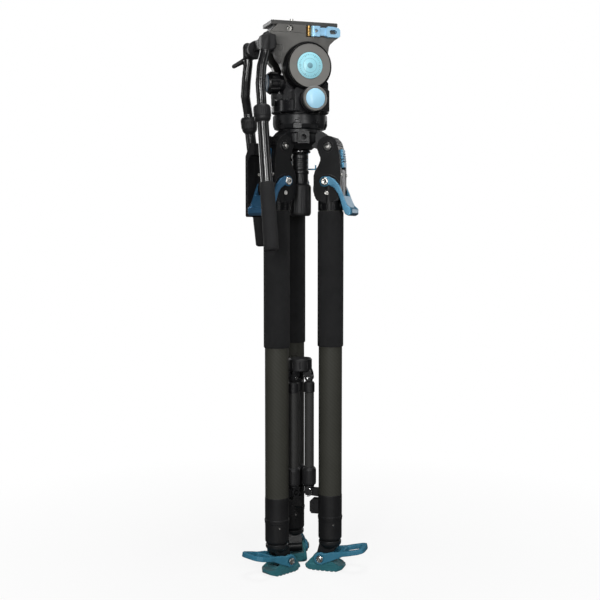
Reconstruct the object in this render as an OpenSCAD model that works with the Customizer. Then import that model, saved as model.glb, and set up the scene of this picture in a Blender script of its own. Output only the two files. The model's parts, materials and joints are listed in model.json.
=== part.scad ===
// Folding video tripod with a fluid head: folded, pan bars hanging, mid level spreader closed.
// Millimetres, +Z up, origin on the ground on the pan axis, +X towards the front of the head,
// so -Y is the right side. Leg and arm parts are drawn along +X, outwards from the pan axis,
// and then turned to their own direction.

/* [Legs] */
// direction of leg A (front right) about the pan axis
leg_a_az = -34.5; // [-60:0.5:-10]
// distance from the pan axis to each folded leg's axis
leg_r = 54; // [50:0.5:60]
// height of the leg hinge bolts
hinge_z = 722; // [700:1:740]
// outside radius of the carbon upper tube
tube_r = 20; // [16:0.5:20]
// outside radius of the foam sleeve
sleeve_r = 22; // [21:0.25:24]
// top of the foam sleeve
sleeve_top = 615; // [600:1:620]
// bottom of the foam sleeve
sleeve_bottom = 386; // [360:1:420]
// top of the upper collar, where the carbon tube ends
collar_top = 131; // [120:1:150]
// split between the upper and the lower collar
collar_split = 90; // [80:1:100]
// bottom of the lower collar
collar_bottom = 52; // [48:1:60]

/* [Spreader] */
// distance from the pan axis to each folded arm's axis
arm_r = 16.5; // [16:0.5:20]
// height of the arm pivots on the hub
hub_z = 331; // [320:1:340]
// height of the arm pivots on the leg collars
bracket_z = 133; // [130:1:140]

/* [Head] */
// height of the tilt axis
tilt_z = 853; // [845:1:860]
// half width of the tilt body
body_hw = 30; // [26:0.5:34]
// radius of the tilt drag dial
dial_r = 40; // [34:0.5:42]
// length of the camera plate
plate_len = 116; // [100:1:140]
// width of the camera plate
plate_w = 50; // [44:1:60]
// radius of the foam grips
grip_r = 12; // [10:0.25:12.5]

/* [Hidden] */
$fn = 48;
leg_b_az = leg_a_az + 120;
leg_c_az = leg_a_az - 120;
// running gap round a pin or tube in its bore
clear = 0.05;
// closer gap of fixed fits
fit = 0.02;

black = [0.09, 0.09, 0.1];
grey = [0.36, 0.36, 0.36];
blue = [0.25, 0.5, 0.65];
pale_blue = [0.6, 0.8, 0.95];
foot_teal = [0.16, 0.42, 0.48];
foot_lever_blue = [0.2, 0.5, 0.65];
brass = [0.72, 0.5, 0.2];
washer_steel = [0.75, 0.75, 0.75];
screw_steel = [0.75, 0.75, 0.76];
bolt_steel = [0.7, 0.7, 0.7];
carbon = [0.2, 0.2, 0.19];
sleeve_foam = [0.15, 0.15, 0.15];
grip_foam = [0.16, 0.16, 0.16];
arm_outer_black = [0.14, 0.14, 0.14];
arm_inner_black = [0.1, 0.1, 0.1];

// ---------- helpers ----------
module cyl_x(y, z, radius, x_from, x_to)
  translate([x_from, y, z]) rotate([0, 90, 0]) cylinder(r = radius, h = x_to - x_from);
module cyl_y(x, z, radius, y_from, y_to)
  translate([x, y_to, z]) rotate([90, 0, 0]) cylinder(r = radius, h = y_to - y_from);
module cyl_z(x, y, radius, z_from, z_to)
  translate([x, y, z_from]) cylinder(r = radius, h = z_to - z_from);
// slab of an [x, z] outline
module slab_xz(outline, y_from, y_to)
  translate([0, y_to, 0]) rotate([90, 0, 0])
    linear_extrude(height = y_to - y_from) polygon(outline);
// slab of a [y, z] outline
module slab_yz(outline, x_from, x_to)
  translate([x_from, 0, 0]) rotate([90, 0, 90])
    linear_extrude(height = x_to - x_from) polygon(outline);
module box(x_from, x_to, y_from, y_to, z_from, z_to)
  translate([x_from, y_from, z_from]) cube([x_to - x_from, y_to - y_from, z_to - z_from]);
// the same shapes centred on y = 0, from their half width
module mid_cyl(x, z, radius, half) cyl_y(x, z, radius, -half, half);
module mid_slab(outline, half) slab_xz(outline, -half, half);
module mid_box(x_from, x_to, half, z_from, z_to) box(x_from, x_to, -half, half, z_from, z_to);
// [radius, z] profile turned about the upright axis at x
module turned(profile, x = 0) translate([x, 0, 0]) rotate_extrude() polygon(profile);
// children, and their mirror image across y = 0
module both_sides() for (side = [-1, 1]) scale([1, side, 1]) children();
module ring(count) for (i = [0:count - 1]) rotate([0, 0, i * 360 / count]) children();
module at_leg(azimuth) rotate([0, 0, azimuth]) children();
module each_leg() for (azimuth = [leg_a_az, leg_b_az, leg_c_az]) at_leg(azimuth) children();
// puts local +z along the line, with the origin at its start
module along(line) {
  way = line[1] - line[0];
  translate(line[0]) rotate([0, acos(way[2] / norm(way)), atan2(way[1], way[0])]) children();
}
// round-ended bar between two points
module round_bar(start, end, start_r, end_r, facets) hull() {
  translate(start) sphere(r = start_r, $fn = facets);
  translate(end) sphere(r = end_r, $fn = facets);
}

// ---------- crown (spider) ----------
hinge_bolt_r = 5;
hinge_lug_hw = 13.5;
ball_z = 780;
ball_r = 37;
bowl_r = ball_r + 0.3;
// square accessory boss on the right
boss_az = -100;
boss_z = 737;
boss_hw = 10;
boss_face_hw = 7.5;
// bowl ring and tapered body: [radius, z]
crown_profile = [[0, 719], [20, 719], [34, 730], [34, 744], [37, 746], [37, 751], [43.5, 753],
  [45.2, 757], [46, 759], [46, 774], [45, 775.5], [0, 775.5]];
// underside of the crown with a small gap: [radius, z]
hook_trim = [[0, 718.97], [20.02, 718.97], [34.02, 729.97], [34.02, 745], [0, 745]];

module crown() color(black) {
  difference() {
    union() {
      turned(crown_profile);
      // hinge lugs
      each_leg() {
        mid_cyl(leg_r, hinge_z, 11.5, hinge_lug_hw);
        mid_slab([[25, 722], [leg_r, 711], [leg_r + 2, 733.3], [44, 745], [34, 751], [25, 751]],
          hinge_lug_hw);
      }
      rotate([0, 0, boss_az]) {
        mid_box(28, 42, boss_hw, boss_z - boss_hw, boss_z + boss_hw);
        mid_box(28, 44, boss_face_hw, boss_z - boss_face_hw, boss_z + boss_face_hw);
      }
    }
    // bowl seat
    translate([0, 0, ball_z]) sphere(r = bowl_r, $fn = 96);
    cyl_z(0, 0, 14, 700, 790);
    // hinge bores
    each_leg() mid_cyl(leg_r, hinge_z, hinge_bolt_r + clear, hinge_lug_hw + 0.5);
    // castellated windows round the bowl
    rotate([0, 0, 6]) ring(9) {
      mid_box(41, 48, 7, 750, 761);
      mid_box(43.4, 48, 3.4, 755, 766);
    }
    // accessory hole
    rotate([0, 0, boss_az]) cyl_x(0, boss_z, 4.76, 32, 45);
  }
}

// hook bent from flat strip
hook_t = 2.4;
hook_x = 12;
hook_tip_x = 28;
hook_y = 17.6;
hook_z = 686;
module hook() color(blue) difference() {
  rotate([0, 0, -18]) {
    box(hook_x, hook_x + hook_t, hook_y, hook_y + hook_t, hook_z, 726);
    box(hook_x, hook_tip_x, hook_y, hook_y + hook_t, hook_z, hook_z + hook_t);
    box(hook_tip_x - hook_t, hook_tip_x, hook_y, hook_y + hook_t, hook_z + 2.3, 694.5);
    // widened top
    box(hook_x, hook_x + hook_t, 15.2, 22, 718.2, 724);
  }
  // ends flush with the underside of the crown
  turned(hook_trim);
}

// ---------- half ball, washer, tie-down ----------
stud_r = 6;
pan_neck_r = 10;
module half_ball() color(grey) {
  difference() {
    union() {
      intersection() {
        translate([0, 0, ball_z]) sphere(r = ball_r, $fn = 96);
        mid_box(-50, 50, 50, 755, 774);
      }
      // top flange, stud below and neck above
      cyl_z(0, 0, 34, 773.5, 778.6);
      cyl_z(0, 0, stud_r, 668, 756);
      cyl_z(0, 0, pan_neck_r, 778, 796);
    }
    // holes in the flat underside
    ring(6) cyl_z(24, 0, 3, 750, 760);
  }
}

module clamp_washer() color(washer_steel)
  turned([[10, 713.6], [17, 713.6], [18, 714.6], [18, 716.4], [16.5, 717.8], [10, 717.8]]);

// grip below, ribbed neck above: [radius, z]
handle_profile = [[0, 608], [15, 607], [17.6, 608.6], [18.5, 611.5], [18.5, 657], [17.8, 659],
  [14.5, 661], [14, 662], [14, 678], [15.3, 679], [15.3, 683], [14, 684], [13.2, 686],
  [13.2, 689], [14, 690], [14, 692.5], [13.2, 693.5], [13.2, 696], [14, 697], [14, 699.5],
  [13.2, 700.5], [13.2, 703], [14.2, 704.5], [14.2, 709], [13, 712.3], [0, 712.3]];
module tie_down_handle() color(black) {
  difference() {
    union() {
      turned(handle_profile);
      ring(18) cyl_z(18.1, 0, 0.8, 612, 656);
    }
    cyl_z(0, 0, stud_r + clear, 666, 714);
    // dished bottom
    translate([0, 0, 606]) cylinder(r1 = 12.5, r2 = 11, h = 3);
    // slots round the neck
    ring(8) mid_box(11.9, 15, 1.6, 664, 677);
  }
}

// ---------- pan housing ----------
axle_r = 8;
drum_r = 33;
drum_hw = 16.8;
// inner faces of the cheek cut-outs
cheek_gap_hw = 17;
dial_stub_r = 4.5;
pan_knob_x = 3;
pan_knob_z = 797.5;
knob_stub_r = 4;
counter_z = 829;
lock_y = -12;
lock_z = 805.2;
lock_pin_r = 3;
// block under the tilt body: [x, z]
pan_block = [[-38, 796], [-38, 812], [-34, 818], [-34, 829], [-31, 832], [37, 832], [40, 829],
  [40, 796]];

module pan_housing() color(black) {
  difference() {
    union() {
      turned([[0, 779], [46.8, 779], [48.5, 780.5], [48.5, 798], [47, 799.6], [44, 800.5],
        [0, 800.5]]);
      mid_slab(pan_block, body_hw);
      // right-hand boss that carries the pan drag knob
      slab_xz([[-25, 779.5], [-25, 814], [-22, 817], [31, 817], [35, 813], [35, 779.5]],
        -50, -20);
      // drum that the tilt body turns on
      mid_cyl(0, tilt_z, drum_r, drum_hw);
      mid_box(-drum_r, drum_r, drum_hw, 800, tilt_z);
      // rear seats of the counterbalance knob and of the lock
      cyl_x(0, counter_z, 14, -39, -30);
      box(-46, -36, -17, 16, 798, 809.4);
    }
    // room for the cheeks and the dial
    both_sides() cyl_y(0, tilt_z, 38.6, cheek_gap_hw, 55);
    cyl_y(0, tilt_z, dial_r + 0.8, -55, -31.2);
    // room for the cheeks when the head tilts forwards
    both_sides() intersection() {
      cyl_y(0, tilt_z, 42.6, cheek_gap_hw, 31);
      box(24, 60, 16, 32, 800, 860);
    }
    // bores of the axle, neck, counterbalance knob, lock and pan drag knob
    mid_cyl(0, tilt_z, axle_r + clear, 60);
    cyl_z(0, 0, pan_neck_r + clear, 770, 797);
    cyl_x(0, counter_z, knob_stub_r + clear, -41, -28);
    cyl_x(lock_y, lock_z, lock_pin_r + clear, -48, -40);
    cyl_y(pan_knob_x, pan_knob_z, knob_stub_r + clear, -52, -44);
    // slot in the boss, panel lines on the left, groove across the front
    box(-26, -24, -51, -49.4, 782, 812);
    for (azimuth = [20, 50, 130, 160]) rotate([0, 0, azimuth]) mid_box(46.6, 50, 5, 784, 796);
    mid_box(38.8, 41, 20, 803, 806);
  }
}

// [radius, distance to the right of the pan axis]
pan_knob_profile = [[0, 50.3], [16.6, 50.3], [17.2, 51], [17.2, 53.9], [19.6, 54.6], [20.3, 56],
  [20.3, 58], [19.2, 59], [19.2, 62], [19.8, 63], [20.5, 69], [20.5, 71.5], [19.2, 73.4],
  [16.6, 73.4], [16.4, 72.4], [0, 72.4]];
module pan_drag_knob() color(grey) translate([pan_knob_x, 0, pan_knob_z]) rotate([90, 0, 0])
  difference() {
    union() {
      turned(pan_knob_profile);
      cyl_z(0, 0, knob_stub_r, 45, 52);
    }
    ring(24) cyl_z(20.9, 0, 0.9, 62, 70);
  }

// [radius, distance behind the pan axis]
counter_knob_profile = [[0, 39.3], [17, 39.3], [18.5, 41], [19, 44], [19, 53], [17.4, 55.4],
  [15.8, 56.4], [15.6, 57.6], [14.2, 58.6], [0, 58.6]];
module counterbalance_knob() color(black) translate([0, 0, counter_z]) rotate([0, -90, 0])
  difference() {
    union() {
      turned(counter_knob_profile);
      cyl_z(0, 0, knob_stub_r, 30, 40);
    }
    ring(9) cyl_z(20.8, 0, 4.4, 38, 55.2);
  }

module pan_lock() color(black) {
  cyl_x(lock_y, lock_z, lock_pin_r, -47, -41);
  cyl_x(lock_y, lock_z, 5, -53.5, -46.3);
  // hanging tab
  slab_yz([[-16.2, 806], [-7.8, 806], [-8.6, 796], [-9.4, 790.6], [-10.6, 789.6],
    [-13.4, 789.6], [-14.6, 790.6], [-15.4, 796]], -53.5, -49.2);
}

// ---------- tilt body ----------
// clamp rosettes of the pan bars
rosette_x = -68;
rosette_z = 888;
rosette_r = 15;
rosette_y = 36;
clamp_stub_r = 4;
// plate lever pivot, on the right side of the body
lever_x = 14;
lever_y = -body_hw + 0.5;
lever_pin_r = 2;
lever_screw_x = 17.5;
lever_screw_z = 913;
// silver screw in the right side
side_screw_x = -27;
side_screw_z = 915.5;
// cheek and platform seen from the side: [x, z]
cheek = [[-61.5, 900], [-61.5, 909], [-48, 922], [56, 922], [57.5, 920], [57.5, 904],
  [50, 901.5], [44.5, 896], [41.2, 888], [39.6, 878], [39, 866], [37.5, 853], [30, 832],
  [18, 819.5], [6, 815.9], [-6, 815.9], [-20, 820.5], [-31, 831], [-38, 846], [-43, 858],
  [-50, 866], [-56, 880], [-59, 892]];
platform = [[-61.5, 893], [-61.5, 909], [-48, 922], [56, 922], [57.5, 920], [57.5, 904],
  [50, 899], [44, 893]];

// radial teeth on a rosette face; used as a cut
module rosette_teeth(y, depth)
  translate([rosette_x, y, rosette_z]) rotate([90, 0, 0])
    ring(24) translate([7, -0.7, -depth]) cube([9, 1.4, 2 * depth]);

// arc rib about the tilt axis, standing out from the right side
module arc_rib(outer_r, height) difference() {
  cyl_y(0, tilt_z, outer_r, -body_hw - height, -20);
  cyl_y(0, tilt_z, outer_r - 2, -34, -18);
}

module tilt_body() color(grey) {
  difference() {
    union() {
      slab_xz(cheek, -body_hw, -cheek_gap_hw - 0.1);
      slab_xz(cheek, cheek_gap_hw + 0.1, body_hw);
      mid_slab(platform, body_hw);
      // raised ribs behind the dial
      intersection() {
        union() {
          arc_rib(46, 1.6);
          arc_rib(50.5, 1.2);
        }
        slab_xz([[-50, 870], [-30, 880], [-30, 826], [-38, 846], [-43, 858]], -36, -16);
      }
      // seat of the dial, and round boss on the left
      cyl_y(0, tilt_z, 35, -body_hw - 1.4, -20);
      cyl_y(0, tilt_z, 30, 20, body_hw + 5);
      // rosettes for the pan bars
      both_sides() {
        cyl_y(rosette_x, rosette_z, rosette_r, body_hw - 4, rosette_y);
        slab_xz([[-68, 902], [-52, 905], [-52, 878], [-62, 874], [-72, 874]],
          body_hw - 8, body_hw + 2);
      }
      // rear bridge that carries the rosettes
      mid_box(-74, -56, body_hw, 884, 900);
      // axle, one piece with the cheeks
      mid_cyl(0, tilt_z, axle_r, 31);
    }
    // dovetail channel for the camera plate
    slab_yz([[-14.15, 913.9], [-18.15, 919.9], [-18.15, 930], [18.15, 930], [18.15, 919.9],
      [14.15, 913.9]], -80, 60);
    both_sides() {
      rosette_teeth(rosette_y, 0.9);
      cyl_y(rosette_x, rosette_z, clamp_stub_r + clear, rosette_y - 20, rosette_y + 5);
    }
    // pocket and ring mark on the right side
    slab_xz([[-57, 888], [-57, 876], [-48.5, 866], [-46, 866], [-46, 888]],
      -body_hw - 1, -body_hw + 1.2);
    difference() {
      cyl_y(-43, 884, 5.4, -body_hw - 1, -body_hw + 0.9);
      cyl_y(-43, 884, 3.6, -body_hw - 2, -body_hw + 2);
    }
    // seam beside the channel
    box(-62, 2, -body_hw - 1, -body_hw + 0.8, 908.6, 909.6);
    // screw recess
    cyl_y(side_screw_x, side_screw_z, 5.4, -body_hw - 1, -body_hw + 5);
    // recess for the plate lever and its spring
    box(1.2, 58, -body_hw - 1, -body_hw + 6.2, 903.5, 923);
    // bore of the dial stub
    cyl_y(0, tilt_z, dial_stub_r + clear, -36, -24);
    // bubble pocket on the left side
    cyl_y(-30, 905, 6, body_hw - 3, body_hw + 1);
  }
  // pivot pin of the plate lever, one piece with the body
  cyl_z(lever_x, lever_y, lever_pin_r, 902, 922.5);
  // silver screw in its recess
  difference() {
    cyl_y(side_screw_x, side_screw_z, 4.6, -body_hw + 1.5, -body_hw + 5);
    cyl_y(side_screw_x, side_screw_z, 2, -body_hw + 1, -body_hw + 3.2);
  }
}

// [radius, distance to the right of the pan axis]
dial_profile = [[0, 31.8], [38.6, 31.8], [dial_r, 33.2], [dial_r, 46], [39.3, 48],
  [37.6, 48.8], [37.2, 48.4], [37.2, 52], [36.2, 53.4], [22.4, 53.4], [22, 52.8], [0, 52.8]];
module tilt_drag_dial() color(grey) translate([0, 0, tilt_z]) rotate([90, 0, 0])
  difference() {
    union() {
      turned(dial_profile);
      cyl_z(0, 0, dial_stub_r, 25, 33);
    }
    ring(40) cyl_z(dial_r + 0.55, 0, 1, 35, 46);
  }

// ---------- plate lever and spring ----------
// the coils are a zigzag: one valley or crest each step up
spring_z = 904.2;
spring_step = 1.2;
spring_steps = 14;
spring_bore_r = 1.55;
spring_profile = concat([[spring_bore_r, spring_z]],
  [for (i = [0:spring_steps]) [i % 2 == 0 ? 3.2 : 4, spring_z + i * spring_step]],
  [[spring_bore_r, spring_z + spring_steps * spring_step]]);
module plate_spring() color(brass)
  translate([5.6, -body_hw + 0.6, 0]) rotate_extrude() polygon(spring_profile);

// [x, z]
lever_paddle = [[35, 905.4], [38, 903.9], [57, 903.9], [59.5, 906.5], [59.5, 916], [57, 919.6],
  [46, 921.4], [38, 921.4], [35, 919]];
module plate_lever() color(pale_blue) {
  difference() {
    union() {
      // hub, hub block, neck and paddle
      cyl_z(lever_x, lever_y, 4.1, 904.2, 921.2);
      box(lever_x, 24, -body_hw - 5, -body_hw + 5.5, 904.2, 921.2);
      box(23, 38, -body_hw - 1.5, -body_hw + 4, 906.5, 919.5);
      slab_xz(lever_paddle, -body_hw - 5, -body_hw + 4);
    }
    // pivot bore, screw recess and finger hole
    cyl_z(lever_x, lever_y, lever_pin_r + clear, 900, 925);
    cyl_y(lever_screw_x, lever_screw_z, 3, -body_hw - 6, -body_hw - 3);
    hull() {
      cyl_y(44.5, 912.6, 3.6, -body_hw - 6, -body_hw + 5);
      cyl_y(50, 912.6, 3.6, -body_hw - 6, -body_hw + 5);
    }
  }
  cyl_y(lever_screw_x, lever_screw_z, 2.2, -body_hw - 4.4, -body_hw - 2.8);
}

// ---------- camera plate ----------
plate_end = plate_len / 2;
plate_top = 929.2;
camera_screw_x = -15;
groove_w = 1.6;
plate_side = [[-plate_end, 923.2], [-plate_end + 1, 922.6], [plate_end - 1, 922.6],
  [plate_end, 923.6], [plate_end, 928.2], [plate_end - 1, plate_top],
  [-plate_end + 1, plate_top], [-plate_end, 928.2]];
module camera_plate() color(grey) {
  difference() {
    union() {
      mid_slab(plate_side, plate_w / 2);
      // dovetail
      slab_yz([[-14, 914.2], [-17.9, 920], [-17.9, 923], [17.9, 923], [17.9, 920],
        [14, 914.2]], -plate_end + 6, plate_end - 4);
    }
    // bore of the camera screw, and room for its head
    cyl_z(camera_screw_x, 0, 3.3, 900, 935);
    cyl_z(camera_screw_x, 0, 8, 913, 921.6);
    // grip grooves in the top face
    for (x = [4:5:44]) mid_box(x, x + groove_w, 19, plate_top - 0.6, 930);
    for (x = [-50:5:-32]) mid_box(x, x + groove_w, 19, plate_top - 0.6, 930);
    // underside pocket
    mid_box(8, 44, 8, 913, 918);
  }
  // stop pins at the rear
  cyl_z(-52, -12, 1.6, 929, 932);
  cyl_z(-40, -12, 1.6, 929, 931.4);
}

module camera_screw() color(screw_steel) {
  difference() {
    union() {
      cyl_z(camera_screw_x, 0, 2.9, 916, 930);
      cyl_z(camera_screw_x, 0, 3.175, 929.4, 936.5);
      cyl_z(camera_screw_x, 0, 7.6, 916, 921.2);
    }
    // driver slot
    mid_box(camera_screw_x - 10, camera_screw_x + 10, 1, 915, 917.6);
  }
}

// ---------- pan bars ----------
bar_r = 8.3;
bar_face_y = 36.4;
// top and bottom of each lower bar's axis: near is the right side, far the left
near_axis = [[-85.5, -61.66, 792], [-81.7, -104, 551]];
far_axis = [[-69.3, 82, 788], [-34, 113, 556]];
// bends from the clamp down to the top of the axis: [x, y, z]
near_bends = [[-72.4, -50, 896], [-77, -52, 868], [-83, -54.5, 848], [-86.2, -58, 820]];
far_bends = [[-78, 50, 894], [-76.5, 52.5, 868], [-78, 59, 840], [-77.5, 68, 814]];
// twist lock at the top of a lower bar: [radius, height]
bar_lock_profile = [[bar_r + clear, 0], [10.6, 0], [13.4, 2.5], [14.2, 5], [14.2, 19],
  [13.2, 20], [13.2, 22], [12.6, 24], [10.2, 27], [bar_r + clear, 27]];
// open sleeve with a closed bottom end: [radius, distance along the bar]
grip_profile = [[9.45, 0], [11.4, 0], [grip_r, 1.2], [grip_r, 102], [grip_r + 0.2, 106],
  [grip_r - 0.6, 109], [9.6, 110.6], [0, 110.9], [0, 106.6], [9.45, 106.6]];
function line_len(line) = norm(line[1] - line[0]);

module bar_upper(side, bends, axis) {
  path = concat(bends, [axis[0]]);
  difference() {
    union() {
      for (i = [0:len(path) - 2]) round_bar(path[i], path[i + 1], bar_r, bar_r, 28);
      along(axis) cylinder(r = bar_r, h = line_len(axis) * 0.72);
      // rosette half of the clamp and its lug
      scale([1, side, 1]) {
        cyl_y(rosette_x, rosette_z, rosette_r, bar_face_y, 42);
        cyl_y(rosette_x, rosette_z, 11, 41.5, 50);
        slab_xz([[-84, 876], [-84, 897], [-70, 902], [-60, 898], [-60, 878], [-68, 874]],
          42, 58);
        cyl_y(rosette_x, rosette_z, clamp_stub_r, 31.5, 37);
      }
    }
    scale([1, side, 1]) rosette_teeth(bar_face_y, 0.8);
  }
}
module bar_lower(axis) {
  length = line_len(axis);
  along(axis) difference() {
    union() {
      translate([0, 0, 8]) turned(bar_lock_profile);
      translate([0, 0, 30]) cylinder(r = 9.4, h = length - 34);
    }
    translate([0, 0, -1]) cylinder(r = bar_r + clear, h = length - 14);
    ring(16) cyl_z(14.6, 0, 0.8, 12, 27.5);
  }
}
module grip(axis) along(axis) translate([0, 0, line_len(axis) - 110]) turned(grip_profile);

module bar_near_upper() color(black) bar_upper(-1, near_bends, near_axis);
module bar_near_lower() color(black) bar_lower(near_axis);
module bar_near_grip() color(grip_foam) grip(near_axis);
module bar_far_upper() color(black) {
  bar_upper(1, far_bends, far_axis);
  // wing handle of the clamp
  round_bar([-84, 53, 872], [-101, 55, 862], 4.5, 3.6, 24);
}
module bar_far_lower() color(black) bar_lower(far_axis);
module bar_far_grip() color(grip_foam) grip(far_axis);

// ---------- leg housing ----------
cheek_in = 14.2;
cheek_out = 20.5;
// pivot of the release lever, and the screws below it
release_x = 50;
release_z = 664;
release_pin_r = 3;
side_bolt_x = 52.5;
side_bolt_z = 645;
side_bolt_r = 3.4;
// cheek outline: [x, z]
housing_side = [[37.4, 713], [41.2, 704], [41.2, 699], [37.5, 690], [32, 682], [29.6, 674],
  [29.6, 648], [33, 636], [36, 632], [72, 632], [75.5, 640], [76.3, 650], [76.3, 684],
  [75, 704], [72.6, 718], [68.5, 730], [61, 738.5], [54, 740.5]];
// web that joins the cheeks on the outer side: [x, z]
outer_web = [[67, 640], [67, 720], [66, 730], [60.5, 738.2], [68.5, 730], [72.6, 718],
  [74, 704], [74.6, 684], [74.6, 640]];
// ribs over the top of the web: [z, inner x, outer x]
web_ribs = [[724, 66, 71.7], [728, 66, 70.3], [732, 63.4, 67.6], [736, 60.8, 64]];

module leg_housing() color(black) {
  difference() {
    union() {
      both_sides() {
        slab_xz(housing_side, cheek_in, cheek_out);
        cyl_y(leg_r - 1, hinge_z, 17.5, cheek_in, cheek_out);
        cyl_y(leg_r - 1, 652, 24, cheek_in, 21);
        // raised pad round the bolt
        cyl_y(leg_r, hinge_z, 9.5, 20.4, 21.2);
      }
      mid_slab(outer_web, 14.3);
      // socket for the tube
      cyl_z(leg_r, 0, 21.2, 629, 668);
      mid_box(30, 76, 18, 640, 666);
      // slotted neck
      cyl_z(leg_r, 0, 21.4, 616, 630);
      for (rib = web_ribs)
        mid_slab([[rib[1], rib[0]], [rib[2], rib[0]], [rib[2] - 0.8, rib[0] + 1.8],
          [rib[1], rib[0] + 1.8]], 17);
    }
    cyl_z(leg_r, 0, tube_r + fit, 600, 664);
    both_sides() cyl_y(leg_r, hinge_z, hinge_bolt_r + fit, 13, 23);
    // pocket for the lock tab and the link bar
    mid_box(71, 80, 9.4, 633, 719.5);
    mid_box(60, 80, 9.4, 686, 704);
    // edge grooves along the web
    both_sides() box(70, 80, 13.2, 14.2, 650, 712);
    // slots in the neck
    translate([leg_r, 0, 0]) ring(12) mid_box(20.6, 24, 1.5, 618, 627);
    // holes of the side screws and the lever pivots
    both_sides() {
      cyl_y(side_bolt_x, side_bolt_z, 3.5, 19, 23);
      cyl_y(release_x, release_z, release_pin_r + fit, 19, 24);
    }
  }
}

// hinge bolt, side screws and link bar: separate fasteners of one housing
module leg_hardware() color(bolt_steel) {
  difference() {
    union() {
      mid_cyl(leg_r, hinge_z, hinge_bolt_r, 21);
      both_sides() cyl_y(leg_r, hinge_z, 6.6, 21.25, 22.6);
      mid_cyl(leg_r, hinge_z, hinge_bolt_r, 22);
    }
    both_sides() cyl_y(leg_r, hinge_z, 3, 21.6, 24);
  }
  both_sides() {
    difference() {
      cyl_y(side_bolt_x, side_bolt_z, side_bolt_r, 20.1, 21.8);
      cyl_y(side_bolt_x, side_bolt_z, side_bolt_r * 0.45, 21, 22.8);
    }
    // small screws in the outer face
    difference() {
      cyl_x(17.4, 675, 2.6, 76.35, 78);
      cyl_x(17.4, 675, 1.1, 77.2, 79);
    }
  }
  // link bar on the outer face
  mid_slab([[74.1, 684], [76, 684.5], [77.6, 682], [77.6, 640], [75.6, 635], [74.1, 636]], 7.5);
}

// ---------- leg release lever and lock tab ----------
release_in = 21.4;
release_out = 26;
// side arm of the lever: [x, z]
release_arm = [[50, 656], [50, 672.6], [58, 672], [67, 667.5], [75, 658.5], [80.5, 646],
  [85, 634], [90, 624], [97, 618.5], [97, 610], [91, 606.8], [85, 612.3], [80.4, 621],
  [77.4, 632], [73, 643.4], [66.6, 652.4], [57.5, 657.6]];
// paddle with its up-curled lip: [x, z]
release_paddle = [[79.4, 641], [82.6, 640.4], [86.5, 630.5], [91, 621], [95.5, 618.4],
  [97, 618.5], [97, 611], [91, 606.8], [85.5, 609.6], [81.5, 618], [79.6, 627]];
module leg_lever() color(blue) {
  difference() {
    union() {
      both_sides() {
        cyl_y(release_x, release_z, 8.6, release_in, release_out);
        slab_xz(release_arm, release_in, release_out);
      }
      mid_slab(release_paddle, release_out);
    }
    mid_cyl(release_x, release_z, release_pin_r + clear, 30);
    // chamfered corners of the paddle
    both_sides() translate([99.6, 20.6, 600]) rotate([0, 0, 45]) cube([9, 12, 24]);
    // finger hollow in the paddle
    mid_slab([[90, 624.5], [92.6, 620.6], [98, 619.8], [98, 626]], 18);
  }
  // pivot screws with washers
  both_sides() difference() {
    union() {
      cyl_y(release_x, release_z, release_pin_r, 20.1, 27.6);
      cyl_y(release_x, release_z, 6.2, release_out + clear, 27.6);
    }
    cyl_y(release_x, release_z, 2.6, 26.8, 29);
  }
}

tab_x = 71.8;
tab_z = 691;
tab_hw = 8.8;
module leg_lock_tab() color(blue) {
  difference() {
    union() {
      mid_slab([[71.3, 690], [71.3, 712], [72, 717.5], [76.4, 718], [77.6, 713],
        [79.2, 700], [79.4, 688], [76, 686.6], [73, 686.8]], tab_hw);
      mid_cyl(tab_x, tab_z, 3.6, tab_hw);
      mid_box(61, 72, 4, 689, 694);
    }
    // grooves across the outer face
    for (z = [696:4:712]) mid_slab([[76.6, z], [82, z], [82, z + 2], [76.4, z + 2]], 10);
    mid_cyl(tab_x, tab_z, 1.5, 10);
  }
}

// ---------- leg tubes ----------
middle_r = 16;
lower_r = 12;
arm_pin_r = 2.5;
// upper collar with its end flange: [radius, z]
upper_collar = [[0, collar_split + 0.3], [21.2, collar_split + 0.3], [21.2, collar_split + 3.2],
  [20.4, collar_split + 4], [20.4, collar_top - 1], [20, collar_top], [0, collar_top]];
lower_collar = [[0, collar_bottom], [17.5, collar_bottom], [19.8, collar_bottom + 3],
  [20.2, collar_bottom + 5], [20.2, collar_split - 4], [20.8, collar_split - 3],
  [20.8, collar_split], [0, collar_split]];
sleeve_profile = [[tube_r + clear, sleeve_bottom], [sleeve_r - 0.3, sleeve_bottom],
  [sleeve_r, sleeve_bottom + 1], [sleeve_r, sleeve_top - 1], [sleeve_r - 0.4, sleeve_top],
  [tube_r + clear, sleeve_top]];

module leg_upper(pin) color(carbon) {
  difference() {
    union() {
      cyl_z(leg_r, 0, tube_r, collar_top - 2, 662);
      turned(upper_collar, leg_r);
      // spreader bracket: tongue, and lug below it
      mid_slab([[arm_r, bracket_z - 6.5], [36, bracket_z - 8], [36, bracket_z + 6.5],
        [arm_r, bracket_z + 6.5]], 4);
      mid_cyl(arm_r, bracket_z, 6.5, 4);
      mid_slab([[19.5, 100], [22.5, 96], [36, 96], [36, 121], [23.5, 121], [19.5, 117]], 7.5);
    }
    cyl_z(leg_r, 0, 17.6, collar_top + 2, 700);
    cyl_z(leg_r, 0, middle_r + clear, 60, collar_top + 3);
    // dimples in the lug
    both_sides() {
      cyl_y(25.5, 113.5, 2.2, 6.4, 9);
      cyl_y(25.5, 103.5, 2.2, 6.4, 9);
    }
    mid_cyl(arm_r, bracket_z, arm_pin_r + clear, 5);
  }
  // fixed pin that the open fork hangs on
  if (pin) mid_cyl(arm_r, bracket_z, arm_pin_r + clear, 9.5);
}
module leg_sleeve() color(sleeve_foam) turned(sleeve_profile, leg_r);
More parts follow.
